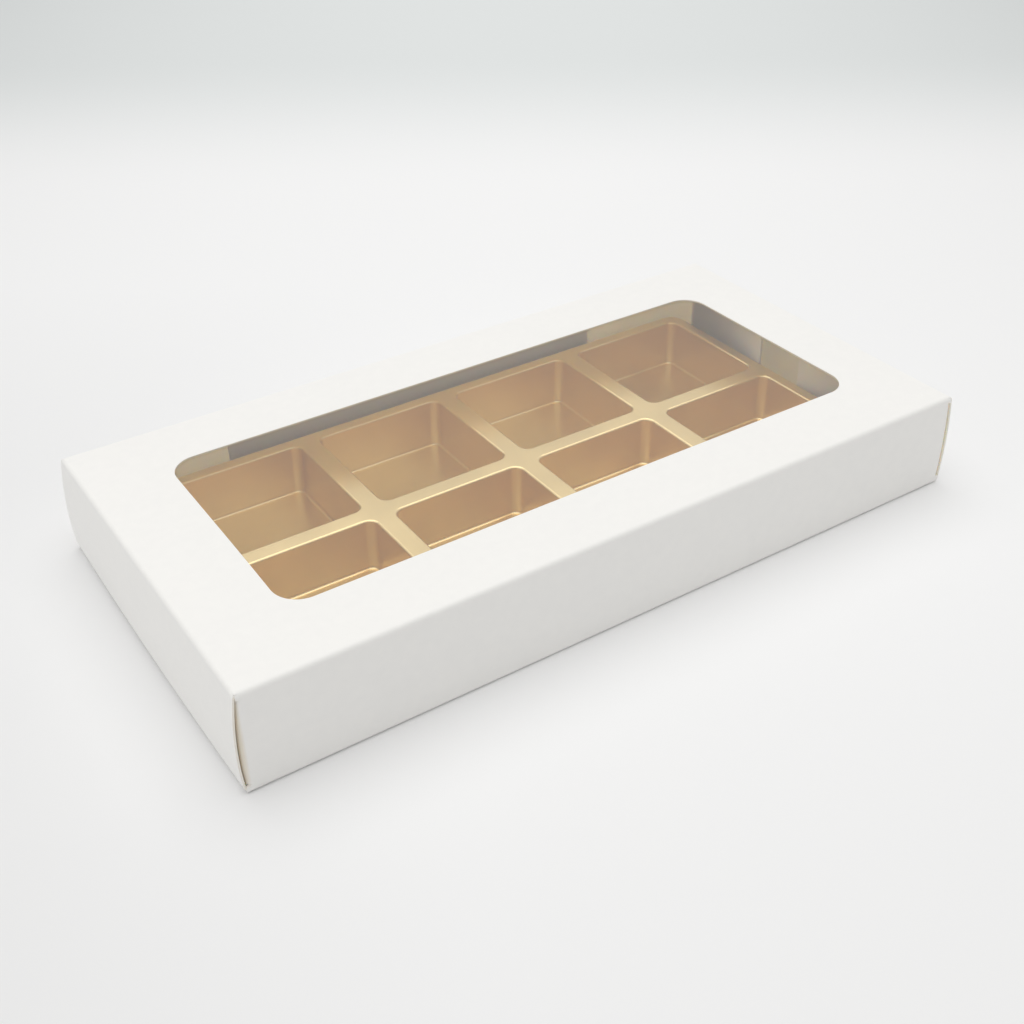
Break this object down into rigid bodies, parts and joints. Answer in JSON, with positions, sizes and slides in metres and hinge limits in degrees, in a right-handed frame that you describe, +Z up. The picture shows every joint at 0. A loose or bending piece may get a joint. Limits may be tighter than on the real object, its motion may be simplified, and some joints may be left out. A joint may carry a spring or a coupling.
{
  "type": "chocolate box",
  "caption": "Shallow folding carton with a film window in its top, tuck-in end closures and a loose gold tray with cells for chocolates.",
  "frame": {"origin": "middle of the face that the box stands on", "axes": "+Z up, X along the long side between the two end closures, Y from the front panel to the back panel"},
  "size_m": [0.2024, 0.102, 0.0265],
  "materials": {
    "white_board": "smooth coated white, cream on its cut edges",
    "clear_film": "clear glossy film",
    "gold_sheet": "satin gold metallised sheet"
  },
  "bodies": {
    "carton": {"top_panel": "white_board", "front_panel": "white_board", "back_panel": "white_board", "bottom_panel": "white_board", "seam_flap": "white_board", "window_film": "clear_film"},
    "left_closure": {"left_closure": "white_board"},
    "left_tuck_flap": {"left_tuck_flap": "white_board"},
    "right_closure": {"right_closure": "white_board"},
    "right_tuck_flap": {"right_tuck_flap": "white_board"},
    "front_left_dust_flap": {"front_left_dust_flap": "white_board"},
    "back_left_dust_flap": {"back_left_dust_flap": "white_board"},
    "front_right_dust_flap": {"front_right_dust_flap": "white_board"},
    "back_right_dust_flap": {"back_right_dust_flap": "white_board"},
    "tray": {"chocolate_tray": "gold_sheet"}
  },
  "joints": [
    {"name": "left_closure_hinge", "type": "hinge", "parent": "carton", "child": "left_closure", "pos_m": [-0.09962, 0, 0.02612], "axis": [0, 1, 0], "range_deg": [0, 120]},
    {"name": "left_tuck_crease", "type": "hinge", "parent": "left_closure", "child": "left_tuck_flap", "pos_m": [-0.10037, 0, 0.00113], "axis": [0, 1, 0], "range_deg": [0, 24]},
    {"name": "right_closure_hinge", "type": "hinge", "parent": "carton", "child": "right_closure", "pos_m": [0.09962, 0, 0.02612], "axis": [0, -1, 0], "range_deg": [0, 120]},
    {"name": "right_tuck_crease", "type": "hinge", "parent": "right_closure", "child": "right_tuck_flap", "pos_m": [0.10037, 0, 0.00113], "axis": [0, -1, 0], "range_deg": [0, 24]},
    {"name": "front_left_flap_crease", "type": "hinge", "parent": "carton", "child": "front_left_dust_flap", "pos_m": [-0.09932, -0.05062, 0.01385], "axis": [0.0317, 0, 0.9995], "range_deg": [0, 12]},
    {"name": "back_left_flap_crease", "type": "hinge", "parent": "carton", "child": "back_left_dust_flap", "pos_m": [-0.09932, 0.05062, 0.01385], "axis": [-0.0317, 0, -0.9995], "range_deg": [0, 12]},
    {"name": "front_right_flap_crease", "type": "hinge", "parent": "carton", "child": "front_right_dust_flap", "pos_m": [0.09932, -0.05062, 0.01385], "axis": [0.0317, 0, -0.9995], "range_deg": [0, 12]},
    {"name": "back_right_flap_crease", "type": "hinge", "parent": "carton", "child": "back_right_dust_flap", "pos_m": [0.09932, 0.05062, 0.01385], "axis": [-0.0317, 0, 0.9995], "range_deg": [0, 12]},
    {"name": "tray_slide", "type": "slide", "parent": "carton", "child": "tray", "axis": [1, 0, 0], "range_m": [-0.0051, 0]}
  ],
  "couplings": [
    {"joint": "left_tuck_crease", "follows": "left_closure_hinge", "ratio": 0.2},
    {"joint": "right_tuck_crease", "follows": "right_closure_hinge", "ratio": 0.2}
  ]
}
